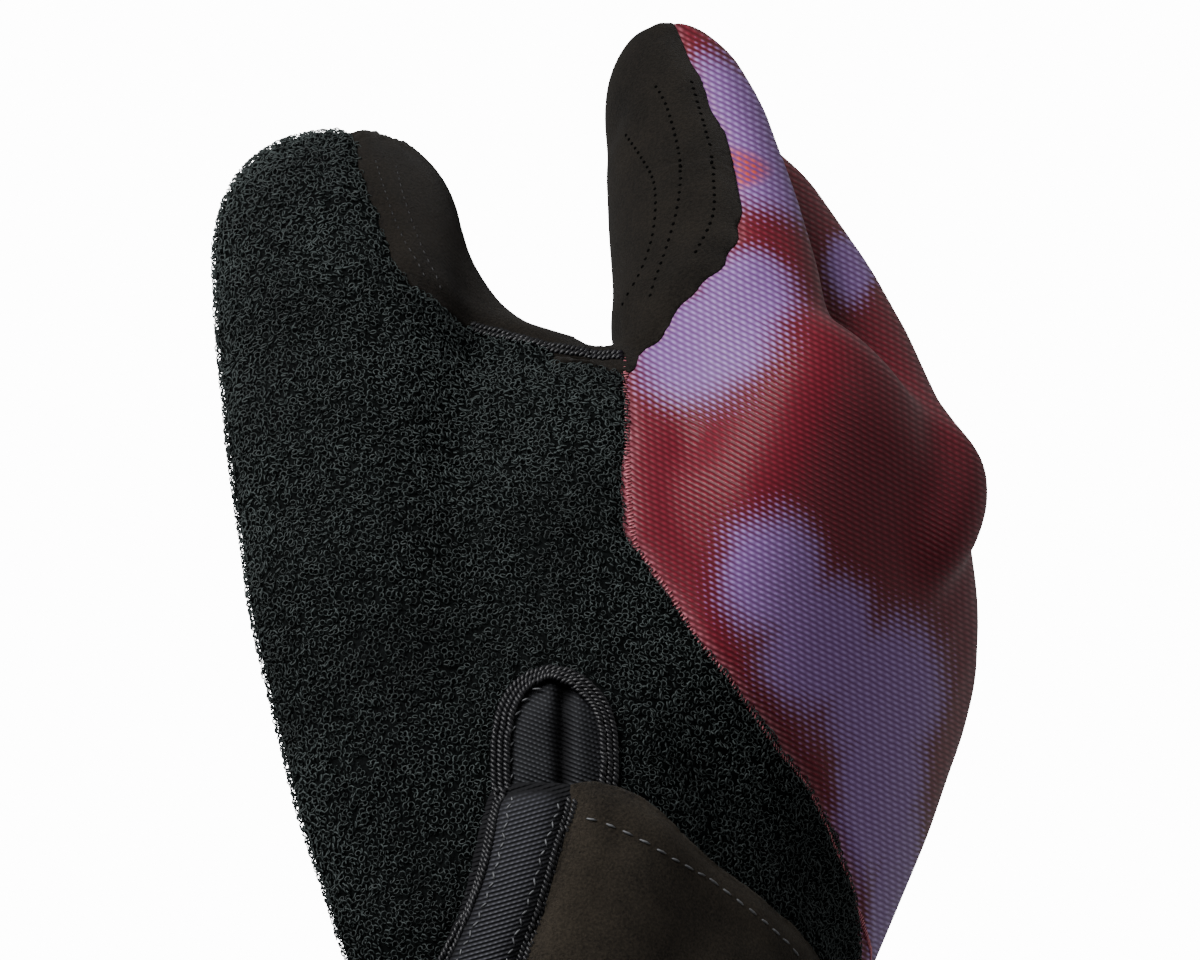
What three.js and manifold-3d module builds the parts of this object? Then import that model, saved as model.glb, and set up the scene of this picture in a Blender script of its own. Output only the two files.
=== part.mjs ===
// A right-hand long-finger cycling glove, kept in the shape that a relaxed hand gives it.
// Millimetres, +Z from the wrist opening to the fingertips, -Y the back of the hand, -X the thumb side.
// The origin is the centre of the wrist opening.
import * as THREE from "three";
import { mergeVertices } from "three/addons/utils/BufferGeometryUtils.js";
import Module from "manifold-3d";

const wasm = await Module();
wasm.setup();

// Driving dimensions
const HAND_BREADTH = 84; // across the four knuckles, glove included
const HAND_DEPTH = 34; // through the palm at the knuckles
const PALM_HEIGHT = 102; // from the hem to the index knuckle
const SETBACK = 31; // how far the bent-back wrist carries the knuckles behind the cuff
const CUFF_WIDTH = 64;
const CUFF_DEPTH = 50;
const FINGER_LENGTH = 87; // of the middle finger, from its knuckle
const FINGER_WIDTH = 21.5; // at the root
const THUMB_REACH = 132; // height of the thumb's axis, from where it leaves the palm to its tip
const THUMB_WIDTH = 31;
const THUMB_DEPTH = 21;
const WEB_DEPTH = 28; // through the fold between thumb and index finger, at its root
const CLOTH = 1.5; // wall of the glove
const SEAM_GAP = 0.3; // between two panels
const HEM_HEIGHT = 9; // of the binding round the wrist opening
const BINDING_PROUD = 0.9; // how far the tapes stand out
const BAND_PROUD = 0.5; // how far the wrist band stands out
const PIPING_WIDTH = 2.2;
const ARCH_WIDTH = 14.6; // of the gusset and its piping, over all
const ARCH_RISE = 8.3; // of its round head
const SLIT_WIDTH = 9.4; // of the tape down the slit

// Directions: the arch and the slit face outward and down on the thumb's side.
const ARCH_TURN = 70; // degrees from the back of the hand towards the thumb
const ARCH_DROP = 38; // degrees below level

// Fineness
const AROUND = 12; // sides of a finger
const AROUND_PALM = 24;
const SECTOR_STEPS = 4; // of the arc of a cutter
const ARCH_STEPS = 8; // of the arch's head
const THINNEST = 0.2; // half of a limb's very tip inside the glove

// Reaches of the cutters, from the axis that they turn about
const NEAR_AXIS = FINGER_WIDTH / 2; // a finger's cloth, for turning a gap into an angle
const PALM_REACH = 0.45 * HAND_BREADTH; // the palm's cloth, for the same
const SECTOR_REACH = 1.1 * FINGER_WIDTH;
const FAN_REACHES = [0.05 * HAND_BREADTH, PALM_REACH, 0.9 * HAND_BREADTH];
const DEGREE = Math.PI / 180;
const FULL_TURN = 360;

const vec = (x, y, z) => new THREE.Vector3(x, y, z);

// Solids
function solidOf(geometry) {
  geometry.deleteAttribute("normal");
  geometry.deleteAttribute("uv");
  const merged = mergeVertices(geometry, 1e-4);
  return new wasm.Manifold(
    new wasm.Mesh({
      numProp: 3,
      vertProperties: new Float32Array(merged.attributes.position.array),
      triVerts: new Uint32Array(merged.index.array),
    }),
  );
}

// A closed skin over rings of equally many points, with a flat lid on each end.
function skin(rings) {
  const sides = rings[0].length;
  const points = rings.flat();
  const faces = [];
  for (let r = 0; r + 1 < rings.length; r++) {
    for (let s = 0; s < sides; s++) {
      const [a, b] = [r * sides + s, r * sides + ((s + 1) % sides)];
      faces.push(a, b, b + sides, a, b + sides, a + sides);
    }
  }
  for (const first of [0, (rings.length - 1) * sides]) {
    const ring = points.slice(first, first + sides);
    points.push(ring.reduce((sum, p) => sum.add(p), vec(0, 0, 0)).divideScalar(sides));
    for (let s = 0; s < sides; s++) {
      const edge = [first + s, first + ((s + 1) % sides)];
      faces.push(...(first === 0 ? edge.reverse() : edge), points.length - 1);
    }
  }
  const geometry = new THREE.BufferGeometry().setFromPoints(points).setIndex(faces);
  const solid = solidOf(geometry.clone());
  return solid.volume() > 0 ? solid : solidOf(geometry.setIndex(faces.reverse()));
}
// The main body of a cut solid, without the crumbs that crossing cuts leave beside it.
function mainBody(solid) {
  return solid.decompose().reduce((best, body) => (body.volume() > best.volume() ? body : best));
}

// A limb is a soft tube along a curve: rows give the share of its height, and its half sizes there.
class Limb {
  constructor({ joints, rows, side, around }) {
    this.curve = new THREE.CatmullRomCurve3(joints, false, "centripetal");
    Object.assign(this, { rows, side, around });
  }
  frame(t) {
    const clamped = Math.min(Math.max(t, 0), 1);
    const along = this.curve.getTangentAt(clamped);
    const across = this.side.clone().addScaledVector(along, -this.side.dot(along)).normalize();
    const at = this.curve.getPointAt(clamped).addScaledVector(along, (t - clamped) * this.curve.getLength());
    return { at, along, across, back: across.clone().cross(along) };
  }
  // The point at an angle from the back of the limb towards its little-finger side.
  point(t, degrees, half, deep) {
    const { at, across, back } = this.frame(t);
    return at
      .addScaledVector(back, deep * Math.cos(degrees * DEGREE))
      .addScaledVector(across, half * Math.sin(degrees * DEGREE));
  }
  ring(t, half, deep) {
    return Array.from({ length: this.around }, (_, s) =>
      this.point(t, (s * FULL_TURN) / this.around, half, deep));
  }
  // What lies between two angles round the limb: rows give t, from and to.
  sector(rows, grow = 0, reach = SECTOR_REACH) {
    const wider = grow / NEAR_AXIS / DEGREE;
    const longer = grow / this.curve.getLength();
    return skin(rows.map(({ t, from, to }, r) => {
      const at = t + (r === 0 ? -longer : 0) + (r === rows.length - 1 ? longer : 0);
      const turns = Array.from({ length: SECTOR_STEPS + 1 }, (_, step) =>
        from - wider + ((to - from + 2 * wider) * step) / SECTOR_STEPS);
      return [this.frame(at).at, ...turns.map((turn) => this.point(at, turn, reach, reach))];
    }));
  }
  solid(inset = 0) {
    const shorter = inset / this.curve.getLength();
    return skin(this.rows.map(({ t, half, deep }) =>
      this.ring(t > 0 ? t - shorter : t, Math.max(half - inset, THINNEST), Math.max(deep - inset, THINNEST))));
  }
}

// Palm: heights are shares of PALM_HEIGHT, half widths of HAND_BREADTH, half depths of HAND_DEPTH.
// A cuff share replaces both by shares of the cuff's own sizes, and tilt lowers the little finger's side.
const PALM_ROWS = [
  { up: 0.0, right: 0.0, back: 0.0, cuff: 1.0, tilt: 0 },
  { up: 0.1, right: 0.0, back: 0.01, cuff: 0.95, tilt: 0 },
  { up: 0.22, right: 0.0, back: 0.03, cuff: 0.9, tilt: 2 },
  { up: 0.4, right: -0.01, back: 0.2, half: 0.4, deep: 0.575, tilt: 5 },
  { up: 0.6, right: 0.0, back: 0.45, half: 0.45, deep: 0.54, tilt: 8 },
  { up: 0.8, right: 0.02, back: 0.67, half: 0.485, deep: 0.52, tilt: 9 },
  { up: 0.97, right: 0.036, back: 0.89, half: 0.505, deep: 0.475, tilt: 12 },
  { up: 1.05, right: 0.044, back: 0.9, half: 0.49, deep: 0.45, tilt: 12 },
  { up: 1.11, right: 0.052, back: 0.86, half: 0.455, deep: 0.4, tilt: 11 },
  { up: 1.15, right: 0.06, back: 0.83, half: 0.4, deep: 0.33, tilt: 10 },
  { up: 1.175, right: 0.066, back: 0.81, half: 0.31, deep: 0.22, tilt: 10 },
];
// The value of a column between two rows of a table, by a column that rises.
function between(rows, by, value, column) {
  const found = rows.findIndex((row) => row[by] > value);
  const next = found < 0 ? rows.length - 1 : Math.max(found, 1);
  const [low, high] = [rows[next - 1], rows[next]];
  const share = Math.min(Math.max((value - low[by]) / (high[by] - low[by]), 0), 1);
  return low[column] + share * (high[column] - low[column]);
}
// The point of the palm at a height share, an angle from the back towards the little finger, and a reach.
function palmPoint(up, degrees, half, deep = half) {
  const tilt = between(PALM_ROWS, "up", up, "tilt") * DEGREE;
  return vec(half * Math.sin(degrees * DEGREE), -deep * Math.cos(degrees * DEGREE), 0)
    .applyAxisAngle(vec(0, 0, 1), tilt)
    .add(vec(between(PALM_ROWS, "up", up, "right") * HAND_BREADTH,
      -between(PALM_ROWS, "up", up, "back") * SETBACK, up * PALM_HEIGHT));
}
function palmSolid(inset, below) {
  const last = PALM_ROWS.length - 1;
  return skin(PALM_ROWS.map((row, r) => {
    const half = (row.cuff ? (row.cuff * CUFF_WIDTH) / 2 : row.half * HAND_BREADTH) - inset;
    const deep = (row.cuff ? (row.cuff * CUFF_DEPTH) / 2 : row.deep * HAND_DEPTH) - inset;
    const lift = vec(0, 0, (r === 0 ? -below : 0) - (r === last ? inset : 0));
    return Array.from({ length: AROUND_PALM }, (_, side) =>
      palmPoint(row.up, (side * FULL_TURN) / AROUND_PALM, half, deep).add(lift));
  }));
}

// Fingers: right is a share of HAND_BREADTH, back of SETBACK, up of PALM_HEIGHT, length of FINGER_LENGTH,
// width and depth of FINGER_WIDTH; lean is towards the little finger and bend forward at each bone.
const FINGERS = [
  { right: -0.32, back: 0.84, up: 1.0, length: 0.85, width: 1.0, depth: 1.0, lean: 9, bend: [10.5, 0.5, 4] },
  { right: -0.07, back: 1.16, up: 1.0, length: 1.0, width: 1.0, depth: 0.9, lean: 12.5, bend: [18.5, 3, 7] },
  { right: 0.167, back: 0.86, up: 0.96, length: 0.94, width: 0.96, depth: 0.9, lean: 16, bend: [20, 6, 8] },
  { right: 0.38, back: 0.54, up: 0.88, length: 0.77, width: 0.86, depth: 0.93, lean: 21, bend: [23, 7, 8] },
];
const BONES = [0.47, 0.3, 0.23]; // shares of a finger's length
const FINGER_ROWS = [
  { t: -0.17, half: 0.1, deep: 0.12 },
  { t: -0.14, half: 0.3, deep: 0.36 },
  { t: -0.08, half: 0.46, deep: 0.56 },
  { t: 0.0, half: 0.54, deep: 0.72 },
  { t: 0.17, half: 0.53, deep: 0.61 },
  { t: 0.35, half: 0.5, deep: 0.59 },
  { t: 0.52, half: 0.47, deep: 0.55 },
  { t: 0.75, half: 0.43, deep: 0.47 },
  { t: 0.87, half: 0.37, deep: 0.4 },
  { t: 0.94, half: 0.28, deep: 0.3 },
  { t: 0.98, half: 0.17, deep: 0.18 },
  { t: 1.0, half: 0.06, deep: 0.06 },
];
function fingerLimb({ right, back, up, length, width, depth, lean, bend }) {
  const joints = [vec(right * HAND_BREADTH, -back * SETBACK, up * PALM_HEIGHT)];
  let turned = 0;
  BONES.forEach((share, bone) => {
    turned += bend[bone] * DEGREE;
    const step = vec(Math.sin(lean * DEGREE), Math.cos(lean * DEGREE) * Math.sin(turned),
      Math.cos(lean * DEGREE) * Math.cos(turned));
    joints.push(joints.at(-1).clone().addScaledVector(step, share * length * FINGER_LENGTH));
  });
  const wide = width * FINGER_WIDTH;
  const rows = FINGER_ROWS.map(({ t, half, deep }) => ({ t, half: half * wide, deep: deep * depth * wide }));
  return new Limb({ joints, rows, side: vec(1, 0, 0), around: AROUND });
}

// Thumb: heights are shares of THUMB_REACH above the root, which is a share of PALM_HEIGHT.
const THUMB_ROOT = 0.12;
const THUMB_JOINTS = [
  { right: -0.145, back: -0.1, up: 0.0 },
  { right: -0.351, back: -0.232, up: 0.174 },
  { right: -0.435, back: -0.34, up: 0.303 },
  { right: -0.548, back: -0.484, up: 0.5 },
  { right: -0.577, back: -0.555, up: 0.75 },
  { right: -0.53, back: -0.625, up: 1.0 },
];
const THUMB_ROWS = [
  { t: 0.0, half: 0.42, deep: 0.5 },
  { t: 0.2, half: 0.53, deep: 0.6 },
  { t: 0.33, half: 0.53, deep: 0.68 },
  { t: 0.5, half: 0.485, deep: 0.66 },
  { t: 0.65, half: 0.475, deep: 0.6 },
  { t: 0.765, half: 0.49, deep: 0.55 },
  { t: 0.866, half: 0.495, deep: 0.48 },
  { t: 0.92, half: 0.46, deep: 0.41 },
  { t: 0.958, half: 0.39, deep: 0.31 },
  { t: 0.985, half: 0.29, deep: 0.19 },
  { t: 1.0, half: 0.13, deep: 0.08 },
];
const THUMB_SIDE = vec(0.342, -0.94, 0); // across the thumb's nail
const thumbLimb = new Limb({
  joints: THUMB_JOINTS.map(({ right, back, up }) =>
    vec(right * HAND_BREADTH, -back * SETBACK, THUMB_ROOT * PALM_HEIGHT + up * THUMB_REACH)),
  rows: THUMB_ROWS.map(({ t, half, deep }) => ({ t, half: half * THUMB_WIDTH, deep: deep * THUMB_DEPTH })),
  side: THUMB_SIDE,
  around: AROUND,
});

// The fold of cloth between the thumb and the index finger's root.
const WEB_ROWS = [
  { up: 0.1, right: -0.21, back: 0.0, half: 0.14, deep: 0.4 },
  { up: 0.3, right: -0.3, back: 0.06, half: 0.2, deep: 0.5 },
  { up: 0.5, right: -0.375, back: 0.12, half: 0.25, deep: 0.52 },
  { up: 0.76, right: -0.43, back: 0.17, half: 0.3, deep: 0.44 },
  { up: 0.96, right: -0.44, back: 0.2, half: 0.31, deep: 0.28 },
  { up: 1.05, right: -0.44, back: 0.17, half: 0.3, deep: 0.15 },
  { up: 1.085, right: -0.475, back: 0.0, half: 0.22, deep: 0.12 },
  { up: 1.118, right: -0.505, back: -0.19, half: 0.13, deep: 0.12 },
  { up: 1.157, right: -0.515, back: -0.245, half: 0.1, deep: 0.13 },
  { up: 1.25, right: -0.512, back: -0.33, half: 0.07, deep: 0.14 },
];
const WEB_SIDE = vec(0.48, -0.877, 0);
function webSolid(inset) {
  const outward = WEB_SIDE.clone().cross(vec(0, 0, 1));
  return skin(WEB_ROWS.map((row, r) => {
    const up = row.up * PALM_HEIGHT - (r === WEB_ROWS.length - 1 ? inset : 0);
    const at = vec(row.right * HAND_BREADTH, -row.back * SETBACK, up);
    const half = Math.max(row.half * HAND_BREADTH - inset, THINNEST);
    const deep = Math.max(row.deep * WEB_DEPTH - inset, THINNEST);
    return Array.from({ length: AROUND }, (_, s) => {
      const turn = (s * 2 * Math.PI) / AROUND;
      return at.clone().addScaledVector(outward, deep * Math.cos(turn))
        .addScaledVector(WEB_SIDE, half * Math.sin(turn));
    });
  }));
}

// Cutters on the palm: rows go round it, from the thumb's side over the back, with the heights they cut between.
function fan(rows, grow = 0) {
  const wider = grow / PALM_REACH / DEGREE;
  const taller = grow / PALM_HEIGHT;
  return skin(rows.map(({ turn, low, high }, r) => {
    const at = turn + (r === 0 ? -wider : 0) + (r === rows.length - 1 ? wider : 0);
    const edge = (up) => FAN_REACHES.map((reach) => palmPoint(up, at, reach));
    return [...edge(low - taller), ...edge(high + taller).reverse()];
  }));
}

const fingerLimbs = FINGERS.map(fingerLimb);
const [indexLimb, middleLimb, ringLimb, littleLimb] = fingerLimbs;
function gloveSolid(inset, below) {
  return [webSolid(inset), thumbLimb.solid(inset), ...fingerLimbs.map((limb) => limb.solid(inset))]
    .reduce((sum, limb) => sum.add(limb), palmSolid(inset, below));
}
const hollow = gloveSolid(CLOTH, HEM_HEIGHT);
const wall = gloveSolid(0, 0).subtract(hollow);
const proudWall = gloveSolid(-BINDING_PROUD, 0).subtract(hollow);
const bandWall = gloveSolid(-BAND_PROUD, 0).subtract(hollow);

// The satin's lower seam, from the corner of the thumb's fold over the back to the hand's outer edge.
const SATIN_TOP = 1.13;
const WEB_TOP = 1.078; // height share of the seam along the fold's top
const WEB_TURN = -104;
const SATIN_SEAM = [
  { turn: -118, low: 1.05 }, { turn: -113, low: 0.92 }, { turn: -106.5, low: 0.81 }, { turn: -101, low: 0.745 },
  { turn: -93, low: 0.685 }, { turn: -83, low: 0.62 }, { turn: -73, low: 0.58 }, { turn: -60, low: 0.555 },
  { turn: -40, low: 0.54 }, { turn: -14, low: 0.53 }, { turn: 12, low: 0.525 }, { turn: 40, low: 0.505 },
  { turn: 65, low: 0.475 }, { turn: 85, low: 0.44 }, { turn: 98, low: 0.42 },
].map((row) => ({ ...row, high: row.turn < WEB_TURN ? WEB_TOP : SATIN_TOP }));
// The index finger's seam between satin and suede, and the plain ones of the other fingers.
const INDEX_SATIN = [
  { t: 0.12, from: -116, to: 72 }, { t: 0.16, from: -105, to: 72 }, { t: 0.2, from: -88, to: 72 },
  { t: 0.26, from: -68, to: 72 }, { t: 0.33, from: -57, to: 72 }, { t: 0.42, from: -51, to: 72 },
  { t: 0.6, from: -50, to: 72 }, { t: 0.74, from: -57, to: 72 }, { t: 0.88, from: -61, to: 76 },
  { t: 1.1, from: -64, to: 80 },
];
const sideRows = (from, to, start) => [{ t: start, from, to }, { t: 0.5, from, to }, { t: 1.1, from, to }];
const FOURCHETTE_START = 0.22;
const SIDE_REACH = 0.7 * FINGER_WIDTH; // past a finger's own cloth, short of its neighbour's far side
const BACK_START = 0.1;
const satinCut = (grow) => [
  fan(SATIN_SEAM, grow),
  indexLimb.sector(INDEX_SATIN, grow),
  middleLimb.sector(sideRows(-72, 72, BACK_START), grow),
  ringLimb.sector(sideRows(-72, 72, BACK_START), grow),
  littleLimb.sector(sideRows(-72, 95, BACK_START), grow),
].reduce((sum, cut) => sum.add(cut));
const fourchetteCut = (thumbward, outward, grow) => thumbward
  .sector(sideRows(72, 112, FOURCHETTE_START), grow, SIDE_REACH)
  .add(outward.sector(sideRows(-112, -72, FOURCHETTE_START), grow, SIDE_REACH));

// Wrist: the closing band, the slit beside it, and the arch of the gusset above the slit.
const BAND_EDGE = [
  { turn: -98, high: 0.395 }, { turn: -93, high: 0.4 }, { turn: -86, high: 0.407 }, { turn: -79, high: 0.402 },
  { turn: -72, high: 0.387 }, { turn: -62, high: 0.376 }, { turn: -33, high: 0.373 }, { turn: -6, high: 0.385 },
  { turn: 26, high: 0.39 }, { turn: 60, high: 0.385 }, { turn: 98, high: 0.375 },
].map((row) => ({ ...row, low: HEM_HEIGHT / PALM_HEIGHT }));
// A flat outline cut square through the near wall, the way that the arch faces: x runs along the hand's
// side towards its back, y up it, both from the origin.
const NEAR_WALL = { from: -0.17 * HAND_BREADTH, depth: 0.65 * HAND_BREADTH };
const archFacing = new THREE.Matrix4().makeRotationFromEuler(
  new THREE.Euler((90 + ARCH_DROP) * DEGREE, 0, -ARCH_TURN * DEGREE, "ZYX"));
const throughNearWall = (outline) => solidOf(
  new THREE.ExtrudeGeometry(outline, { depth: NEAR_WALL.depth, bevelEnabled: false, curveSegments: ARCH_STEPS })
    .translate(0, 0, NEAR_WALL.from).applyMatrix4(archFacing));
// The arch's places, and the slit's middle line: x is a share of HAND_BREADTH, y of PALM_HEIGHT.
const ARCH = { x: -0.0857 * HAND_BREADTH, foot: 0.556 * PALM_HEIGHT, spring: 0.626 * PALM_HEIGHT };
const SLIT = [
  { x: -0.112, y: 0.569 }, { x: -0.129, y: 0.503 }, { x: -0.158, y: 0.422 }, { x: -0.189, y: 0.363 },
  { x: -0.204, y: 0.29 }, { x: -0.2, y: 0.19 }, { x: -0.19, y: 0.05 },
];
function archCut(inset, grow = 0) {
  const half = ARCH_WIDTH / 2 - inset + grow;
  const outline = new THREE.Shape()
    .moveTo(ARCH.x - half, ARCH.foot - grow)
    .lineTo(ARCH.x + half, ARCH.foot - grow)
    .absellipse(ARCH.x, ARCH.spring, half, ARCH_RISE - inset + grow, 0, Math.PI);
  return throughNearWall(outline);
}
function slitCut(grow) {
  const edge = (side) => SLIT.map(({ x, y }, row) => new THREE.Vector2(
    x * HAND_BREADTH + side * (SLIT_WIDTH / 2 + grow), y * PALM_HEIGHT + (row === 0 ? grow : 0)));
  return throughNearWall(new THREE.Shape([...edge(-1), ...edge(1).reverse()]));
}

// Thumb: its terry runs from just past its palm-side edge to the seam with the suede.
const THUMB_TERRY = [
  { t: 0.72, from: -97, to: 95 }, { t: 0.745, from: -97, to: 86 }, { t: 0.752, from: -97, to: 62 },
  { t: 0.765, from: -97, to: 40 }, { t: 0.785, from: -97, to: 32 }, { t: 0.83, from: -97, to: 27 },
  { t: 0.865, from: -97, to: 20 }, { t: 0.91, from: -98, to: 16 }, { t: 1.1, from: -100, to: 26 },
];
const THUMB_PALM_START = 0.6;
const SUEDE_REACH = 1.44 * FINGER_WIDTH; // of the thumb's suede, over the fold
const SHEET_STEPS = [-0.2, 0.1, 0.2, 0.33, 0.5, 0.65, 0.727];
const SHEET_REACH = 0.25; // share of HAND_BREADTH from the palm's middle to the index finger's bone
const SHEET_TURN = -88; // where that bone lies round the palm
const SHEET_FAR = 0.9 * HAND_BREADTH;
const STRIP_START = -100;
const STRIP_LOW = 0.35;
// All that lies outward of the sheet through the bones of the thumb and of the index finger.
function thumbSideCut(grow) {
  return skin(SHEET_STEPS.map((t, r) => {
    const at = t + (r === SHEET_STEPS.length - 1 ? grow / thumbLimb.curve.getLength() : 0);
    const frame = thumbLimb.frame(at);
    const bone = palmPoint(frame.at.z / PALM_HEIGHT, SHEET_TURN, SHEET_REACH * HAND_BREADTH);
    const edge = thumbLimb.point(at, THUMB_TERRY[0].from, SHEET_FAR, SHEET_FAR);
    const lift = frame.back.clone().multiplyScalar(-grow);
    return [bone, frame.at.clone(), edge].map((point) => point.add(lift))
      .concat([edge, bone].map((point) => point.clone().addScaledVector(frame.back, SHEET_FAR)));
  }));
}
// The strip of terry that runs on over the back, between the satin and the wrist band.
const TERRY_STRIP = SATIN_SEAM.filter(({ turn }) => turn > STRIP_START)
  .map(({ turn, low }) => ({ turn, low: STRIP_LOW, high: low }));
const terryCut = (grow) => thumbSideCut(grow)
  .add(thumbLimb.sector(THUMB_TERRY, grow)).add(fan(TERRY_STRIP, grow));
const thumbPalmRows = [{ ...THUMB_TERRY[0], t: THUMB_PALM_START }, ...THUMB_TERRY]
  .map(({ t, from, to }) => ({ t, from: to, to: from + FULL_TURN }));
const hemSlab = (grow) => solidOf(
  new THREE.BoxGeometry(CUFF_WIDTH * 2, CUFF_DEPTH * 2, 2 * (HEM_HEIGHT + grow)));

// Pieces: what each cut takes from its neighbours is the cut itself and a gap round it.
const thumbPalmCut = (grow) => thumbLimb.sector(thumbPalmRows, grow, SUEDE_REACH);
const withGap = (cut) => cut(0).add(cut(SEAM_GAP));
const CUTS = {
  satin: withGap(satinCut), slit: withGap(slitCut), arch: withGap((grow) => archCut(0, grow)),
  band: withGap((grow) => fan(BAND_EDGE, grow)), hem: hemSlab(SEAM_GAP), terry: withGap(terryCut),
  thumbPalm: withGap(thumbPalmCut),
  sides: [[indexLimb, middleLimb], [middleLimb, ringLimb], [ringLimb, littleLimb]]
    .map(([thumbward, outward]) => withGap((grow) => fourchetteCut(thumbward, outward, grow))),
};
const without = (solid, ...cuts) => cuts.reduce((left, cut) => left.subtract(cut), solid);
const satin = satinCut(0);
const pieces = {
  back_panel: wall.intersect(satin),
  palm_panel: without(wall, CUTS.satin, CUTS.slit, CUTS.arch, CUTS.band, CUTS.hem, CUTS.terry,
    CUTS.thumbPalm, ...CUTS.sides),
  thumb_terry: without(wall.intersect(terryCut(0)), CUTS.satin, CUTS.slit, CUTS.arch, CUTS.band, CUTS.hem),
  thumb_palm: without(wall.intersect(thumbPalmCut(0)), CUTS.satin, CUTS.terry),
  keyhole_gusset: without(wall.intersect(archCut(PIPING_WIDTH + SEAM_GAP)), CUTS.slit, CUTS.band),
  keyhole_piping: without(proudWall.intersect(archCut(0)), archCut(PIPING_WIDTH), CUTS.slit, CUTS.band),
  slit_binding: proudWall.intersect(slitCut(0)),
  wrist_tab: without(bandWall.intersect(fan(BAND_EDGE)), CUTS.slit, CUTS.hem),
  cuff_binding: without(proudWall.intersect(hemSlab(0)), CUTS.slit),
};
[["index", "middle"], ["middle", "ring"], ["ring", "little"]].forEach(([thumbward, outward], pair) => {
  const limbs = fingerLimbs.slice(pair, pair + 2);
  pieces[`fourchette_${thumbward}_${outward}`] =
    without(wall.intersect(fourchetteCut(...limbs, 0)), CUTS.satin, CUTS.thumbPalm);
});

const FINISHES = {
  back_panel: { color: 0x78232d, roughness: 0.42 },
  palm_panel: { color: 0x26211c, roughness: 0.95 },
  thumb_terry: { color: 0x191e1e, roughness: 1.0 },
  thumb_palm: { color: 0x26211c, roughness: 0.95 },
  keyhole_gusset: { color: 0x121316, roughness: 0.6 },
  keyhole_piping: { color: 0x101114, roughness: 0.5 },
  slit_binding: { color: 0x0e0f12, roughness: 0.35 },
  wrist_tab: { color: 0x322c24, roughness: 0.95 },
  cuff_binding: { color: 0x101114, roughness: 0.5 },
};
const SIDE_FINISH = { color: 0x14172a, roughness: 0.7 };

function meshOf(name, solid, finish) {
  const { numProp, vertProperties, triVerts } = solid.getMesh();
  const geometry = new THREE.BufferGeometry();
  geometry.setAttribute("position", new THREE.BufferAttribute(new Float32Array(vertProperties), numProp));
  geometry.setIndex(new THREE.BufferAttribute(new Uint32Array(triVerts), 1));
  geometry.computeVertexNormals();
  const mesh = new THREE.Mesh(geometry, new THREE.MeshStandardMaterial(finish));
  mesh.name = name;
  return mesh;
}

const glove = new THREE.Group();
for (const [name, solid] of Object.entries(pieces)) {
  glove.add(meshOf(name, mainBody(solid), { metalness: 0, ...(FINISHES[name] ?? SIDE_FINISH) }));
}
export default glove;
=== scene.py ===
# %% [markdown]
# # A long-finger cycling glove
# The glove keeps the shape of a relaxed right hand. Its back is dyed stretch satin, its palm and fingertips
# are thin suede, the thumb and the fold beside it are looped terry for wiping the brow, and a taped slit
# under a small arch lets the wrist open. The frame gives every panel at its true size as a plain faceted
# wall, so this script makes the cloth: one smooth skin, cut along the seams, then finished panel by panel.

# %% Load the frame
import bmesh
import bpy
import math
import random
import numpy as np
from mathutils import Matrix, Vector, geometry
from mathutils.bvhtree import BVHTree


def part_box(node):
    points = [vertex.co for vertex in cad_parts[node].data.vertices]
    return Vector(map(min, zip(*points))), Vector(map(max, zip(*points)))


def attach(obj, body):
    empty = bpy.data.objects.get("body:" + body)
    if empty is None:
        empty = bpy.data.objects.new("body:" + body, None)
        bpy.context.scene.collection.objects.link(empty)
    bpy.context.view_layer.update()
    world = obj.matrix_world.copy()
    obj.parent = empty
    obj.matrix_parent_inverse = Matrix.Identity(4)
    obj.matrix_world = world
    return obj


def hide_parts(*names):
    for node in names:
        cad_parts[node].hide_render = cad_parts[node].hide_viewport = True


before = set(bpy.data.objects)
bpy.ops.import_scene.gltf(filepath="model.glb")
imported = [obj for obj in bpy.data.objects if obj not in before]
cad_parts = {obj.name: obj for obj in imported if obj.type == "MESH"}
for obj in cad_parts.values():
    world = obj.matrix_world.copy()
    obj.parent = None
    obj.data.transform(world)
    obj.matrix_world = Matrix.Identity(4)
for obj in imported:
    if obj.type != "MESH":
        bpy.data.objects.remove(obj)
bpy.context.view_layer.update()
MM = 0.001
BODY = "root"
print("panels in the frame:", sorted(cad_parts))

# %% [markdown]
# The camera looks at the thumb's side of the back from below. Many small things are placed by where they
# show in a picture of 1200 by 960, so one helper turns such a place into a ray: across the picture is
# `RIGHT`, up it is `UP`, and `TOWARD` points out of it. The lens is long, so the rays are nearly parallel.

# %% The picture's directions
TURN = math.radians(-70)
DROP = math.radians(-38)
RIGHT = Vector((math.cos(TURN), math.sin(TURN), 0))
TOWARD = Vector((math.sin(TURN) * math.cos(DROP), -math.cos(TURN) * math.cos(DROP), math.sin(DROP)))
UP = TOWARD.cross(RIGHT)
PICTURE = (1200, 960)
PIXELS_PER_METRE = 8300
ORIGIN_PIXEL = (615, 1267)


def picture_place(x, y, depth=0.0):
    """The point that shows at a pixel, this far in front of the wrist opening's centre."""
    across = (x - ORIGIN_PIXEL[0]) / PIXELS_PER_METRE
    up = (ORIGIN_PIXEL[1] - y) / PIXELS_PER_METRE
    return RIGHT * across + UP * up + TOWARD * depth


DISTANCE = 4.0
LOOK_DEPTH = -0.045
LOOK_PIXEL = (600, 480)
CAMERA_PLACE = picture_place(*LOOK_PIXEL, LOOK_DEPTH) + TOWARD * DISTANCE
print("up in the picture:", tuple(round(c, 3) for c in UP))

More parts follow.
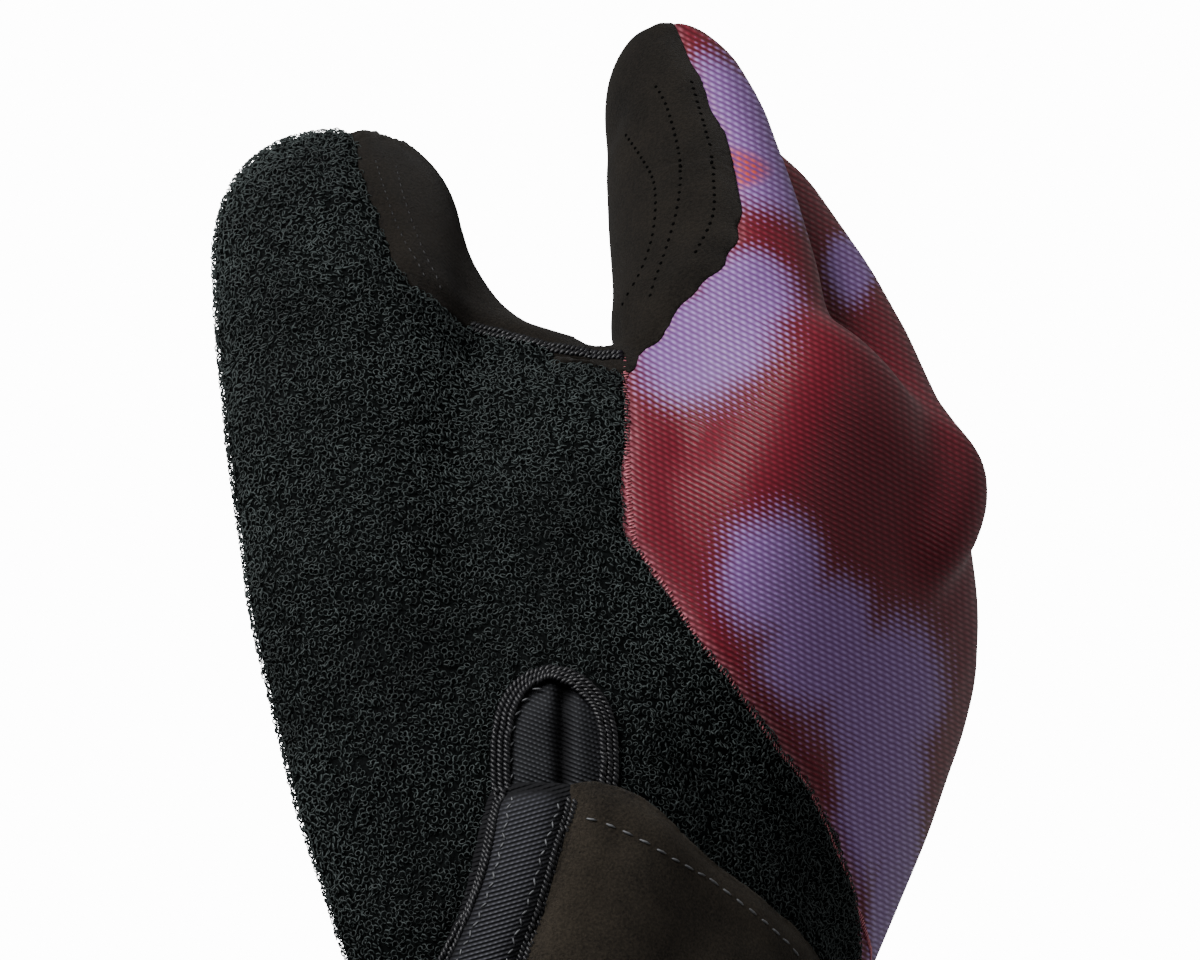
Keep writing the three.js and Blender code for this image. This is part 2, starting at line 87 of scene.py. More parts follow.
# %% [markdown]
# A sewn glove is one soft skin before it is many panels, and seams only nip it. So the skin comes first.
# Copies of all the walls are swollen until their seams close, and are joined, and a plug stops the wrist. A
# coarse voxel remesh of that closes every gap, and once shrunk a little it fills the hollow. A fine remesh of
# the filled glove then gives one closed surface of the outside alone. Smoothing rounds the facets and the
# creases between the limbs, as stretched cloth does, but it also shrinks the fingertips. So each vertex
# measures how far it has sunk, and a blurred copy of that is given back: the shape is kept and the facets
# stay gone. A subdivision surface over the facets would keep their creases, so it isn't used.

# %% The smooth skin
VOXEL = 0.8 * MM
SMOOTHINGS = 60
SEAM_CLOSED = 0.35 * MM
CORE_VOXEL = 2.6 * MM
CORE_INSET = 1.5 * MM
PUSHED_OUT = -0.2 * MM
PLUG_BELOW = 14 * MM
PLUG_ABOVE = 4 * MM


def object_from(bm, name):
    mesh = bpy.data.meshes.new(name)
    bm.to_mesh(mesh)
    bm.free()
    piece = bpy.data.objects.new(name, mesh)
    bpy.context.scene.collection.objects.link(piece)
    return piece


def applied(piece):
    """The piece with its modifiers made part of its mesh."""
    graph = bpy.context.evaluated_depsgraph_get()
    mesh = bpy.data.meshes.new_from_object(piece.evaluated_get(graph))
    piece.modifiers.clear()
    piece.data = mesh
    return piece


def merged_copy(node):
    bm = bmesh.new()
    bm.from_mesh(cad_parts[node].data)
    bmesh.ops.remove_doubles(bm, verts=bm.verts, dist=0.001 * MM)
    bm.normal_update()
    return bm


def island(start):
    """All the vertices that are joined to the start by edges."""
    found = {start}
    front = {start}
    while front:
        front = {e.other_vert(v) for v in front for e in v.link_edges} - found
        found |= front
    return found


def keep_only(bm, kept):
    bmesh.ops.delete(bm, geom=[v for v in bm.verts if v not in kept], context="VERTS")


def mesh_points(mesh, what="vertices", name="co"):
    values = np.zeros(len(getattr(mesh, what)) * 3, np.float32)
    getattr(mesh, what).foreach_get(name, values)
    return values.reshape(-1, 3).astype(float)


def mesh_edges(mesh):
    values = np.zeros(len(mesh.edges) * 2, np.int32)
    mesh.edges.foreach_get("vertices", values)
    return values.reshape(-1, 2)


def blurred(field, edges, times):
    """The field after each vertex has taken on its neighbours' mean so many times."""
    a, b = edges.T
    count = np.bincount(a, minlength=len(field)) + np.bincount(b, minlength=len(field))
    for _ in range(times):
        total = np.bincount(a, field[b], len(field)) + np.bincount(b, field[a], len(field))
        field = 0.5 * field + 0.5 * total / count
    return field


def tree_of(mesh):
    return BVHTree.FromPolygons([v.co for v in mesh.vertices], [tuple(f.vertices) for f in mesh.polygons])


def seen_at(tree, x, y):
    """Where a surface shows at a pixel, and its normal there; the nearest place if the ray passes it."""
    through = picture_place(x, y, LOOK_DEPTH)
    place, normal, _, _ = tree.ray_cast(CAMERA_PLACE, (through - CAMERA_PLACE).normalized())
    if place is None:
        place, normal, _, _ = tree.find_nearest(through)
    return place, normal


def on_skin(x, y):
    return seen_at(skin_tree, x, y)


def falloff(distance, radius):
    return np.exp(-((distance / radius) ** 2))


def cut_level(bm, level, **sides):
    """Cuts the mesh at a height and clears the side below it (inner) or above it (outer)."""
    whole = bm.verts[:] + bm.edges[:] + bm.faces[:]
    bmesh.ops.bisect_plane(bm, geom=whole, plane_co=(0, 0, level), plane_no=(0, 0, 1), **sides)


def remeshed(bm, voxel):
    """The outermost closed surface round everything in the mesh."""
    piece = object_from(bm, "skin")
    remesh = piece.modifiers.new("one surface", "REMESH")
    remesh.mode = "VOXEL"
    remesh.voxel_size = voxel
    applied(piece)
    bm = bmesh.new()
    bm.from_mesh(piece.data)
    keep_only(bm, island(max(bm.verts, key=lambda v: v.co.z)))
    bm.normal_update()
    return piece, bm


def make_skin():
    joined = bmesh.new()
    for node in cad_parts:
        panel = merged_copy(node)
        for v in panel.verts:
            v.co += v.normal * SEAM_CLOSED
        swollen = bpy.data.meshes.new(node)
        panel.to_mesh(swollen)
        panel.free()
        joined.from_mesh(swollen)
    low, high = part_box("cuff_binding")
    plug = bmesh.ops.create_cone(joined, cap_ends=True, segments=64, radius1=1, radius2=1,
                                 depth=PLUG_BELOW + PLUG_ABOVE)["verts"]
    bmesh.ops.scale(joined, verts=plug, vec=((high.x - low.x) / 2, (high.y - low.y) / 2, 1))
    bmesh.ops.translate(joined, verts=plug,
                        vec=((low.x + high.x) / 2, (low.y + high.y) / 2, (PLUG_ABOVE - PLUG_BELOW) / 2))
    rough, core = remeshed(joined.copy(), CORE_VOXEL)
    bpy.data.objects.remove(rough)
    for v in core.verts:
        v.co -= v.normal * CORE_INSET
    filling = bpy.data.meshes.new("filling")
    core.to_mesh(filling)
    core.free()
    joined.from_mesh(filling)
    skin, bm = remeshed(joined, VOXEL)
    bm.to_mesh(skin.data)
    edges = mesh_edges(skin.data)
    faceted = tree_of(skin.data)
    for _ in range(SMOOTHINGS):
        bmesh.ops.smooth_vert(bm, verts=bm.verts, factor=0.5,
                              use_axis_x=True, use_axis_y=True, use_axis_z=True)
    bm.normal_update()
    sunk = np.array([(faceted.find_nearest(v.co)[0] - v.co).dot(v.normal) for v in bm.verts])
    for v, rise in zip(bm.verts, blurred(sunk, edges, SMOOTHINGS)):
        v.co += v.normal * (rise + PUSHED_OUT)
    cut_level(bm, 0, clear_inner=True)
    bm.to_mesh(skin.data)
    bm.free()
    return skin


skin = make_skin()
print("skin:", len(skin.data.vertices), "vertices")

# %% [markdown]
# Each vertex of the skin is told how far it is from every panel of the frame. A panel's own distance less the
# nearest other one's is then a field that is negative inside the panel, zero on its seam and rises evenly
# across it. Blurring the field takes out the frame's facets, so the seams run as smoothly as sewn ones. The
# fields are needed twice: to sink the seams a little, and to cut the panels out.

# %% How far the skin is from each panel
PANELS = sorted(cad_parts)
# Where a seam should run a little past the frame's: panel, pixel, radius and shift in mm.
SEAM_SHIFTS = [
    {"node": "thumb_terry", "x": 470, "y": 326, "radius": 4.5, "shift": 1.6},
    {"node": "thumb_terry", "x": 535, "y": 343, "radius": 4.5, "shift": 1.6},
    {"node": "thumb_terry", "x": 590, "y": 362, "radius": 4, "shift": 1.6},
    {"node": "thumb_terry", "x": 617, "y": 490, "radius": 4, "shift": 1.1},
    {"node": "back_panel", "x": 632, "y": 376, "radius": 4, "shift": 2.2},
    {"node": "back_panel", "x": 688, "y": 327, "radius": 3.5, "shift": 1.8},
]
FIELD_BLUR = 6
FIELD_LIMIT = 20 * MM
# Places where the cloth is stretched flat over the hand: pixel and radius in mm.
STRETCHED = [{"x": 770, "y": 430, "radius": 15}, {"x": 700, "y": 500, "radius": 12}]
RELAXINGS = 220


def panel_distances(points):
    """How far each point lies from each panel, measured along the skin."""
    rows = []
    for node in PANELS:
        bm = merged_copy(node)
        tree = BVHTree.FromBMesh(bm)
        rows.append([tree.find_nearest(p)[3] for p in map(Vector, points)])
        bm.free()
    rows = np.array(rows)
    above = rows.min(axis=0)
    return np.sqrt(rows ** 2 - above ** 2)


def relaxed(points, edges):
    """The points after the stretched places have been blurred much more than the rest."""
    soft = np.stack([blurred(points[:, k], edges, RELAXINGS) for k in range(3)], axis=1)
    weight = np.zeros(len(points))
    for place in STRETCHED:
        centre, _ = on_skin(place["x"], place["y"])
        away = np.linalg.norm(points - np.array(centre), axis=1)
        weight = np.maximum(weight, falloff(away, place["radius"] * MM))
    return points + (soft - points) * weight[:, None]


skin_edges = mesh_edges(skin.data)
skin_tree = tree_of(skin.data)
skin.data.vertices.foreach_set("co", relaxed(mesh_points(skin.data), skin_edges).astype(np.float32).ravel())
skin.data.update()
skin_tree = tree_of(skin.data)
points = mesh_points(skin.data)
normals = mesh_points(skin.data, "vertices", "normal")
distances = panel_distances(points)
for shift in SEAM_SHIFTS:
    centre, _ = on_skin(shift["x"], shift["y"])
    away = np.linalg.norm(points - np.array(centre), axis=1)
    distances[PANELS.index(shift["node"])] -= shift["shift"] * MM * falloff(away, shift["radius"] * MM)
panel_fields = {}
for row, node in enumerate(PANELS):
    field = distances[row] - np.delete(distances, row, axis=0).min(axis=0)
    panel_fields[node] = blurred(np.clip(field, -FIELD_LIMIT, FIELD_LIMIT), skin_edges, FIELD_BLUR)
seam_distance = np.abs(np.array(list(panel_fields.values()))).min(axis=0)
print("furthest from a seam: %.1f mm" % (seam_distance.max() / MM))

# %% [markdown]
# The skin is now shaped as with a sculpting brush. A seam nips the cloth, so the surface dips along every
# seam and swells a little beside it. Gathers are ridges that fan out from a point. Bulges and hollows are
# smooth pushes at places seen in the picture. All of them move vertices along their normals, which keeps the
# skin whole; real loose folds would need a cloth simulation, but this glove is stretched over a hand.

# %% Sculpt the skin
SEAM_DIP = 0.45 * MM
SEAM_WIDTH = 1.1 * MM
SWELL = 0.22 * MM
SWELL_AT = 3.2 * MM
SWELL_WIDTH = 1.8 * MM
# Pushes: pixel, radius in mm, height in mm.
PUSHES = [
    {"x": 603, "y": 97, "radius": 7, "height": 0.5},
    {"x": 612, "y": 129, "radius": 3.5, "height": -0.8},
    {"x": 990, "y": 505, "radius": 9, "height": 0.5},
    {"x": 600, "y": 310, "radius": 7, "height": 1.4},
    {"x": 669, "y": 30, "radius": 2.2, "height": 1.1},
]
# Gathers: pixel that they fan out from, reach in mm, ridges in a full turn, height in mm.
GATHERS = [
    {"x": 628, "y": 354, "reach": 8, "ridges": 34, "height": 0.16},
    {"x": 385, "y": 138, "reach": 6, "ridges": 9, "height": 0.45},
    {"x": 676, "y": 22, "reach": 4, "ridges": 10, "height": 0.25},
]


def sculpt():
    height = -SEAM_DIP * falloff(seam_distance, SEAM_WIDTH)
    height += SWELL * falloff(seam_distance - SWELL_AT, SWELL_WIDTH)
    for push in PUSHES:
        centre, _ = on_skin(push["x"], push["y"])
        away = np.linalg.norm(points - np.array(centre), axis=1)
        height += push["height"] * MM * falloff(away, push["radius"] * MM)
    for gather in GATHERS:
        centre, normal = on_skin(gather["x"], gather["y"])
        across = normal.cross(Vector((0, 0, 1))).normalized()
        offset = points - np.array(centre)
        away = np.linalg.norm(offset, axis=1)
        turn = np.arctan2(offset @ np.array(normal.cross(across)), offset @ np.array(across))
        reach = gather["reach"] * MM
        strength = falloff(away, reach) * (1 - falloff(away, reach / 4))
        height += gather["height"] * MM * np.sin(gather["ridges"] * turn) * strength
    return points + normals * height[:, None]


shaped = sculpt()
skin.data.vertices.foreach_set("co", shaped.astype(np.float32).ravel())
skin.data.update()
print("moved by up to %.2f mm" % (np.abs(shaped - points).max() / MM))

# %% [markdown]
# A panel is cut from the skin where its own distance equals the next panel's. Edges that cross that line are
# split at the crossing, which also splits their faces, and everything outside is deleted. That is cleaner
# than picking whole faces, which would leave a stepped edge, and quicker than a boolean for each panel.
# Solidify then turns the sheet into cloth with a real thickness and a closed edge.

# %% Cut the panels
PIECES = {}
SLIVER = 0.16 * MM
LIFT_REACH = 5 * VOXEL
CUT_REACH = 4 * VOXEL


def cut_panel(node, grow=0.0, lift=0.0):
    """The skin's part that belongs to a panel, grown past its seams and lifted off the skin."""
    field = panel_fields[node] - 2 * grow
    bm = bmesh.new()
    bm.from_mesh(skin.data)
    layer = bm.verts.layers.float.new("field")
    bm.normal_update()
    for v, value in zip(bm.verts, field):
        v[layer] = value
    for v in [v for v in bm.verts if v[layer] < LIFT_REACH]:
        v.co += v.normal * lift
    outside = [v for v in bm.verts if v[layer] > CUT_REACH]
    bmesh.ops.delete(bm, geom=outside, context="VERTS")
    crossing = [e for e in bm.edges if (e.verts[0][layer] < 0) != (e.verts[1][layer] < 0)]
    split = bmesh.ops.subdivide_edges(bm, edges=crossing, cuts=1, quad_corner_type="STRAIGHT_CUT")
    middles = {v for v in split["geom_inner"] if isinstance(v, bmesh.types.BMVert)}
    for v in middles:
        ends = [e.other_vert(v) for e in v.link_edges if e.other_vert(v) not in middles]
        inner = [end for end in ends if end[layer] < 0]
        outer = [end for end in ends if end[layer] >= 0]
        if inner and outer:
            a, b = inner[0], outer[0]
            v.co = a.co.lerp(b.co, min(max(a[layer] / (a[layer] - b[layer]), 0.02), 0.98))
    for v in middles:
        v[layer] = 0.0
    gone = [f for f in bm.faces if sum(v[layer] for v in f.verts) > 0]
    bmesh.ops.delete(bm, geom=gone, context="FACES")
    bmesh.ops.remove_doubles(bm, verts=bm.verts, dist=SLIVER)
    bm.normal_update()
    return bm


def biggest_part(bm):
    """Deletes all but the largest of a mesh's separate parts."""
    left = set(bm.verts)
    best = set()
    while left:
        part = island(left.pop())
        left -= part
        best = max(best, part, key=len)
    keep_only(bm, best)


def finish_piece(piece, material, replaced=()):
    piece.data.materials.clear()
    piece.data.materials.append(material)
    for face in piece.data.polygons:
        face.use_smooth = True
    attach(piece, BODY)
    if replaced:
        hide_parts(*replaced)
    PIECES[piece.name] = piece
    return piece


def thicken(piece, thickness):
    """The sheet with a thickness that goes inwards from it."""
    solid = piece.modifiers.new("cloth", "SOLIDIFY")
    solid.thickness = thickness
    solid.offset = -1
    solid.use_quality_normals = False
    return applied(piece)


# %% [markdown]
# ## Finishes
# Materials are built from a few shader groups. Each group puts out a mask or a height that changes over the
# surface, and each material gives it its own sizes. Positions are Object coordinates, in metres.

# %% Shader helpers
def add(tree, kind, inputs=None, **settings):
    node = tree.nodes.new(kind)
    for key, value in settings.items():
        setattr(node, key, value)
    for key, value in (inputs or {}).items():
        socket = node.inputs[key]
        if isinstance(value, bpy.types.NodeSocket):
            tree.links.new(value, socket)
        else:
            socket.default_value = value
    return node


def math_node(tree, operation, a, b=0.0):
    return add(tree, "ShaderNodeMath", {0: a, 1: b}, operation=operation).outputs[0]


def times_plus(tree, value, factor, added):
    """The value times a factor, with a number added."""
    return add(tree, "ShaderNodeMath", {0: value, 1: factor, 2: added}, operation="MULTIPLY_ADD").outputs[0]


def ranged(tree, value, low, high):
    """The value as a share of the way from low to high, kept between 0 and 1."""
    node = add(tree, "ShaderNodeMapRange", {"Value": value, "From Min": low, "From Max": high})
    return node.outputs["Result"]


def noise(tree, place, scale, detail=2.0):
    return add(tree, "ShaderNodeTexNoise", {"Vector": place, "Scale": scale, "Detail": detail}).outputs["Fac"]


def dot(tree, vector, direction):
    node = add(tree, "ShaderNodeVectorMath", {0: vector, 1: direction}, operation="DOT_PRODUCT")
    return node.outputs["Value"]


def new_material(name, **values):
    material = bpy.data.materials.new(name)
    material.use_nodes = True
    tree = material.node_tree
    tree.nodes.clear()
    shader = add(tree, "ShaderNodeBsdfPrincipled")
    for key, value in values.items():
        shader.inputs[key.replace("_", " ").title()].default_value = value
    output = add(tree, "ShaderNodeOutputMaterial", {"Surface": shader.outputs[0]})
    place = add(tree, "ShaderNodeTexCoord").outputs["Object"]
    return material, tree, shader, place


def colour_mix(tree, share, a, b):
    node = add(tree, "ShaderNodeMix", data_type="RGBA")
    for socket, value in ((0, share), (6, a), (7, b)):
        if isinstance(value, bpy.types.NodeSocket):
            tree.links.new(value, node.inputs[socket])
        else:
            node.inputs[socket].default_value = value
    return node.outputs[2]


def bump(tree, shader, height, distance):
    node = add(tree, "ShaderNodeBump", {"Height": height, "Distance": distance})
    tree.links.new(node.outputs["Normal"], shader.inputs["Normal"])


def group(name, inputs, outputs):
    """A new shader group with named sockets, and its input and output nodes."""
    tree = bpy.data.node_groups.new(name, "ShaderNodeTree")
    for socket, kind in inputs:
        tree.interface.new_socket(socket, in_out="INPUT", socket_type=kind)
    for socket, kind in outputs:
        tree.interface.new_socket(socket, in_out="OUTPUT", socket_type=kind)
    return tree, tree.nodes.new("NodeGroupInput"), tree.nodes.new("NodeGroupOutput")


def use(tree, shared, **inputs):
    node = add(tree, "ShaderNodeGroup", node_tree=shared)
    for key, value in inputs.items():
        socket = node.inputs[key.replace("_", " ").capitalize()]
        if isinstance(value, bpy.types.NodeSocket):
            tree.links.new(value, socket)
        else:
            socket.default_value = value
    return node.outputs


# %% [markdown]
# Satin, knit tape and rib knit are all threads in rows, and each row is broken into short floats that catch
# the light one by one. The group takes two directions, already divided by the row's and the float's length,
# so a dot product counts rows and floats. Neighbouring rows are staggered.

# %% The group for rows of threads
def thread_rows():
    tree, given, out = group(
        "thread rows",
        [("Place", "NodeSocketVector"), ("Across", "NodeSocketVector"), ("Along", "NodeSocketVector"),
         ("Stagger", "NodeSocketFloat"), ("Waver", "NodeSocketFloat")],
        [("Height", "NodeSocketFloat"), ("Float", "NodeSocketFloat")])
    place = given.outputs["Place"]
    waver = math_node(tree, "SUBTRACT", noise(tree, place, 260.0, 1.0), 0.5)
    waver = math_node(tree, "MULTIPLY", waver, given.outputs["Waver"])
    count = math_node(tree, "ADD", dot(tree, place, given.outputs["Across"]), waver)
    ridge = math_node(tree, "COSINE", math_node(tree, "MULTIPLY", count, math.tau))
    ridge = times_plus(tree, ridge, -0.5, 0.5)
    shift = math_node(tree, "MULTIPLY", math_node(tree, "FLOOR", count), given.outputs["Stagger"])
    shifted = math_node(tree, "ADD", dot(tree, place, given.outputs["Along"]), shift)
    thread = math_node(tree, "COSINE", math_node(tree, "MULTIPLY", shifted, math.tau))
    thread = times_plus(tree, thread, -0.5, 0.5)
    rounded = math_node(tree, "POWER", ridge, 0.9)
    mask = math_node(tree, "MULTIPLY", rounded, times_plus(tree, thread, 0.6, 0.4))
    height = math_node(tree, "MULTIPLY", ridge, times_plus(tree, thread, 0.35, 0.65))
    tree.links.new(height, out.inputs["Height"])
    tree.links.new(mask, out.inputs["Float"])
    return tree


THREAD_ROWS = thread_rows()

# %% [markdown]
# Suede and knit yarn share a nap: fine specks over softer clouds. Its mask colours the cloth and its height
# gives the surface a tooth that no flat colour has.

# %% The group for nap
def nap_group():
    tree, given, out = group(
        "nap", [("Place", "NodeSocketVector"), ("Speck", "NodeSocketFloat"), ("Cloud", "NodeSocketFloat")],
        [("Mask", "NodeSocketFloat"), ("Height", "NodeSocketFloat")])
    speck = noise(tree, given.outputs["Place"], given.outputs["Speck"], 4.0)
    speck.node.inputs["Roughness"].default_value = 0.7
    cloud = noise(tree, given.outputs["Place"], given.outputs["Cloud"])
    mixed = times_plus(tree, speck, 0.65, math_node(tree, "MULTIPLY", cloud, 0.35))
    tree.links.new(ranged(tree, mixed, 0.34, 0.66), out.inputs["Mask"])
    tree.links.new(speck, out.inputs["Height"])
    return tree


NAP = nap_group()

# %% [markdown]
# ## Satin
# The back is a warp-knit satin: shiny ribs that cross the hand and run down to the right in the picture. It
# is dyed burgundy with soft clouds of lilac, and the dye breaks up along the ribs at each cloud's edge.
# Each cloud is an ellipsoid around a point of the hand, so it needs no image. The mask of the ribs joins
# the cloud's strength before the threshold, which gives the dye its combed edge.

# %% The satin
RIB = 0.6 * MM
FLOAT = 1.0 * MM
RIB_ACROSS = RIGHT * 0.469 + UP * 0.883
RIB_ALONG = RIGHT * 0.883 - UP * 0.469
BURGUNDY = (0.150, 0.012, 0.024, 1)
# A darker burgundy for the gaps between the floats: painted shade.
BURGUNDY_GAP_SHADE = (0.055, 0.003, 0.007, 1)
LILAC = (0.26, 0.165, 0.39, 1)
# A darker lilac for the gaps between the floats: painted shade.
LILAC_GAP_SHADE = (0.095, 0.033, 0.13, 1)
ORANGE = (0.46, 0.055, 0.02, 1)
FRAYED = (0.50, 0.20, 0.25, 1)
# Clouds: pixel of the middle, radii in mm across, up and towards the viewer.
LILAC_CLOUDS = [
    {"x": 700, "y": 340, "radii": (9.5, 8.5, 14)},
    {"x": 745, "y": 290, "radii": (6.5, 5.5, 14)},
    {"x": 735, "y": 110, "radii": (8, 12, 14)},
    {"x": 765, "y": 160, "radii": (8, 9, 14)},
    {"x": 775, "y": 580, "radii": (7, 8, 16)},
    {"x": 822, "y": 645, "radii": (8.5, 8.5, 18)},
    {"x": 890, "y": 700, "radii": (13, 9.5, 22)},
    {"x": 885, "y": 790, "radii": (7.5, 13, 22)},
    {"x": 896, "y": 890, "radii": (4.5, 15, 22)},
    {"x": 850, "y": 268, "radii": (3.2, 5, 20)},
]
ORANGE_CLOUDS = [{"x": 712, "y": 36, "radii": (7.5, 2.8, 20)}]
CLOUD_CORE = 1.35
FRAY = 1.7 * MM


def cloud_strength(tree, place, clouds):
    """The strongest cloud's strength, which falls evenly from its middle out to nothing past its radii."""
    strongest = None
    for cloud in clouds:
        centre, _ = on_skin(cloud["x"], cloud["y"])
        offset = add(tree, "ShaderNodeVectorMath", {0: place, 1: centre}, operation="SUBTRACT").outputs[0]
        parts = [math_node(tree, "POWER", dot(tree, offset, axis / (radius * MM)), 2.0)
                 for axis, radius in zip((RIGHT, UP, TOWARD), cloud["radii"])]
        total = math_node(tree, "ADD", math_node(tree, "ADD", parts[0], parts[1]), parts[2])
        strength = math_node(tree, "SUBTRACT", CLOUD_CORE, math_node(tree, "SQRT", total))
        strongest = strength if strongest is None else math_node(tree, "MAXIMUM", strongest, strength)
    return strongest


def satin_material():
    material, tree, shader, place = new_material("satin")
    shader.inputs["Specular IOR Level"].default_value = 0.16
    rows = use(tree, THREAD_ROWS, place=place, across=RIB_ACROSS / RIB, along=RIB_ALONG / FLOAT, stagger=0.37,
               waver=0.5)
    uneven = math_node(tree, "SUBTRACT", noise(tree, place, 150.0, 3.0), 0.5)
    uneven = math_node(tree, "MULTIPLY", uneven, 0.5)
    comb = math_node(tree, "ADD", math_node(tree, "MULTIPLY", rows["Float"], 0.42), uneven)
    lilac = math_node(tree, "ADD", cloud_strength(tree, place, LILAC_CLOUDS), comb)
    lilac = ranged(tree, lilac, 0.35, 0.75)
    orange = math_node(tree, "ADD", cloud_strength(tree, place, ORANGE_CLOUDS), uneven)
    orange = ranged(tree, orange, 0.3, 0.7)
    # Painted shade: the gaps between the floats take the darkened colours, and the floats take the dyed ones.
    ground = colour_mix(tree, lilac, BURGUNDY_GAP_SHADE, LILAC_GAP_SHADE)
    yarn = colour_mix(tree, orange, colour_mix(tree, lilac, BURGUNDY, LILAC), ORANGE)
    edge = add(tree, "ShaderNodeAttribute", attribute_name="field").outputs["Fac"]
    frayed = math_node(tree, "MULTIPLY", ranged(tree, edge, -FRAY, 0.0), noise(tree, place, 1500.0, 1.0))
    yarn = colour_mix(tree, frayed, yarn, FRAYED)
    tree.links.new(colour_mix(tree, rows["Float"], ground, yarn), shader.inputs["Base Color"])
    tree.links.new(times_plus(tree, rows["Float"], -0.12, 0.5), shader.inputs["Roughness"])
    bump(tree, shader, rows["Height"], 0.1 * MM)
    return material


SATIN = satin_material()
print("satin clouds:", len(LILAC_CLOUDS) + len(ORANGE_CLOUDS))

# %% [markdown]
# ## Suede
# The palm, the fingers' undersides and the wrist tab are thin synthetic suede: near black with a brown cast,
# no shine, and a nap that makes light and dark patches where it has been stroked.

# %% The suede
def suede_material(name, dark, light, speck=2600.0):
    material, tree, shader, place = new_material(name, roughness=0.93, sheen_weight=0.03, sheen_roughness=0.5)
    shader.inputs["Specular IOR Level"].default_value = 0.05
    nap = use(tree, NAP, place=place, speck=speck, cloud=130.0)
    tree.links.new(colour_mix(tree, nap["Mask"], dark, light), shader.inputs["Base Color"])
    bump(tree, shader, nap["Height"], 0.22 * MM)
    return material


SUEDE = suede_material("suede", (0.0035, 0.003, 0.0025, 1), (0.012, 0.0098, 0.0076, 1))
TAB_SUEDE = suede_material("tab suede", (0.007, 0.006, 0.005, 1), (0.033, 0.027, 0.020, 1), speck=3000.0)

# %% [markdown]
# ## Terry and knits
# Terry is a ground cloth under thousands of small loops. The ground is painted nearly black for shade, as
# little light gets down to it, and the loops have a greenish charcoal tint that differs a little from one to
# the next.

# %% The terry, the knits and the threads
def yarn_material(name, dark, light, roughness=0.85, speck=3200.0, gloss=0.0, cloud=420.0):
    material, tree, shader, place = new_material(name, roughness=roughness)
    shader.inputs["Specular IOR Level"].default_value = gloss
    nap = use(tree, NAP, place=place, speck=speck, cloud=cloud)
    tree.links.new(colour_mix(tree, nap["Mask"], dark, light), shader.inputs["Base Color"])
    bump(tree, shader, nap["Height"], 0.08 * MM)
    return material


DULL = 0.85


def rib_knit_material(name, across, along, row, step, dark, light, roughness=0.42, height=0.2, relief=None):
    """A knit in ribs with a painted glint on its floats; with a range of relief in mm, low places are painted
    in shade and high ones get a painted highlight.
    """
    material, tree, shader, place = new_material(name)
    rows = use(tree, THREAD_ROWS, place=place, across=across / row, along=along / step, stagger=0.5,
               waver=0.35)
    painted_glint = rows["Float"]
    if relief:
        raised = add(tree, "ShaderNodeAttribute", attribute_name="relief").outputs["Fac"]
        painted_glint = math_node(tree, "MULTIPLY", painted_glint, ranged(tree, raised, *relief))
    shader.inputs["Specular IOR Level"].default_value = 0.15
    rough = times_plus(tree, painted_glint, roughness - DULL, DULL)
    tree.links.new(rough, shader.inputs["Roughness"])
    tree.links.new(colour_mix(tree, painted_glint, dark, light), shader.inputs["Base Color"])
    bump(tree, shader, rows["Height"], height * MM)
    return material


BLACK = (0.004, 0.004, 0.005, 1)
# The terry ground's near-black colour is painted shade between the loops.
TERRY_GROUND_SHADE = yarn_material("terry ground", (0.002, 0.002, 0.002, 1), (0.006, 0.007, 0.007, 1))
TERRY_LOOP = yarn_material("terry loop", (0.006, 0.008, 0.008, 1), (0.040, 0.050, 0.049, 1), 0.6, 700.0, 0.2,
                           cloud=70.0)
# Each knit's second colour is a painted glint on its floats. The relief ranges paint shade into the gusset's
# fold and a highlight along the tape's puffed middle.
RIB_KNIT = rib_knit_material("rib knit", UP * 0.94 + RIGHT * 0.34, RIGHT * 0.94 - UP * 0.34, 0.52 * MM,
                             0.55 * MM, BLACK, (0.036, 0.038, 0.043, 1), 0.3, relief=(-1.2, 0.6))
TAPE = rib_knit_material("knit tape", UP * 0.96 - RIGHT * 0.28, RIGHT * 0.96 + UP * 0.28, 0.5 * MM, 0.7 * MM,
                         BLACK, (0.055, 0.056, 0.068, 1), 0.3, relief=(0.5, 1.8))
HEM_TAPE = rib_knit_material("hem tape", Vector((0, 0, 1)), Vector((1, 1, 0)), 0.5 * MM, 1.3 * MM, BLACK,
                             (0.02, 0.02, 0.025, 1), 0.35)
SIDE_KNIT = rib_knit_material("side knit", Vector((0, 0, 1)), Vector((1, 0, 0)), 0.5 * MM, 0.6 * MM,
                              (0.006, 0.007, 0.016, 1), (0.02, 0.022, 0.05, 1), 0.6, 0.1)
THREAD = yarn_material("black thread", (0.002, 0.002, 0.0025, 1), (0.008, 0.008, 0.010, 1), 0.4, gloss=0.35)
# Dark stitching painted grey: a painted highlight along the threads.
THREAD_GREY_GLINT = yarn_material("grey thread", (0.03, 0.03, 0.032, 1), (0.12, 0.124, 0.132, 1), 0.5, gloss=0.4)
PINK_THREAD = yarn_material("pink thread", (0.20, 0.02, 0.035, 1), (0.52, 0.17, 0.20, 1), 0.4, gloss=0.5)
# Near-black colour for the suede's perforations: painted shade inside the holes.
HOLE_SHADE = yarn_material("punched hole", (0.001, 0.001, 0.001, 1), (0.003, 0.003, 0.003, 1))

# %% [markdown]
# ## Panels
# Each panel is cut from the skin, lifted by what lies under it, and given its cloth's thickness. The terry
# runs a little way under the tab and the tape, as it does on the real glove.

